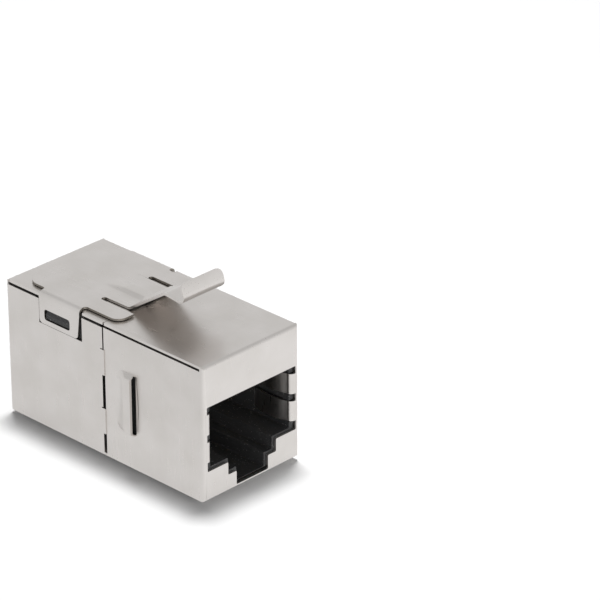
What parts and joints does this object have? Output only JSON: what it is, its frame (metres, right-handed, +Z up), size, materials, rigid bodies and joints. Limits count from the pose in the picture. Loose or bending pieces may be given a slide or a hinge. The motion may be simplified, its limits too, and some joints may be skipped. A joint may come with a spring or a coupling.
{
  "type": "keystone module",
  "caption": "Shielded inline coupler in keystone format: folded steel body, a modular jack at each end, sprung snap-in clip on top.",
  "frame": {"origin": "under the middle of the body, at the lowest point of the fixed catch", "axes": "+X across the body, +Y from the front face (the end under the clip's lip) to the rear face, +Z up to the clip"},
  "size_m": [0.016, 0.031, 0.0225],
  "materials": {
    "shell_steel": "satin nickel plate",
    "clip_steel": "satin nickel plate",
    "housing_plastic": "moulded, semi-gloss black",
    "carrier_plastic": "moulded, dull black",
    "board_laminate": "glass-epoxy board with solder mask",
    "contact_gold": "gold plate"
  },
  "bodies": {
    "root": {"front_shell": "shell_steel", "rear_shell": "shell_steel", "spring_clip": "clip_steel", "front_housing": "housing_plastic", "rear_housing": "housing_plastic", "front_carrier": "carrier_plastic", "rear_carrier": "carrier_plastic", "circuit_board": "board_laminate", "front_contact_1": "contact_gold", "front_contact_2": "contact_gold", "front_contact_3": "contact_gold", "front_contact_4": "contact_gold", "front_contact_5": "contact_gold", "front_contact_6": "contact_gold", "front_contact_7": "contact_gold", "front_contact_8": "contact_gold", "rear_contact_1": "contact_gold", "rear_contact_2": "contact_gold", "rear_contact_3": "contact_gold", "rear_contact_4": "contact_gold", "rear_contact_5": "contact_gold", "rear_contact_6": "contact_gold", "rear_contact_7": "contact_gold", "rear_contact_8": "contact_gold"}
  },
  "joints": []
}
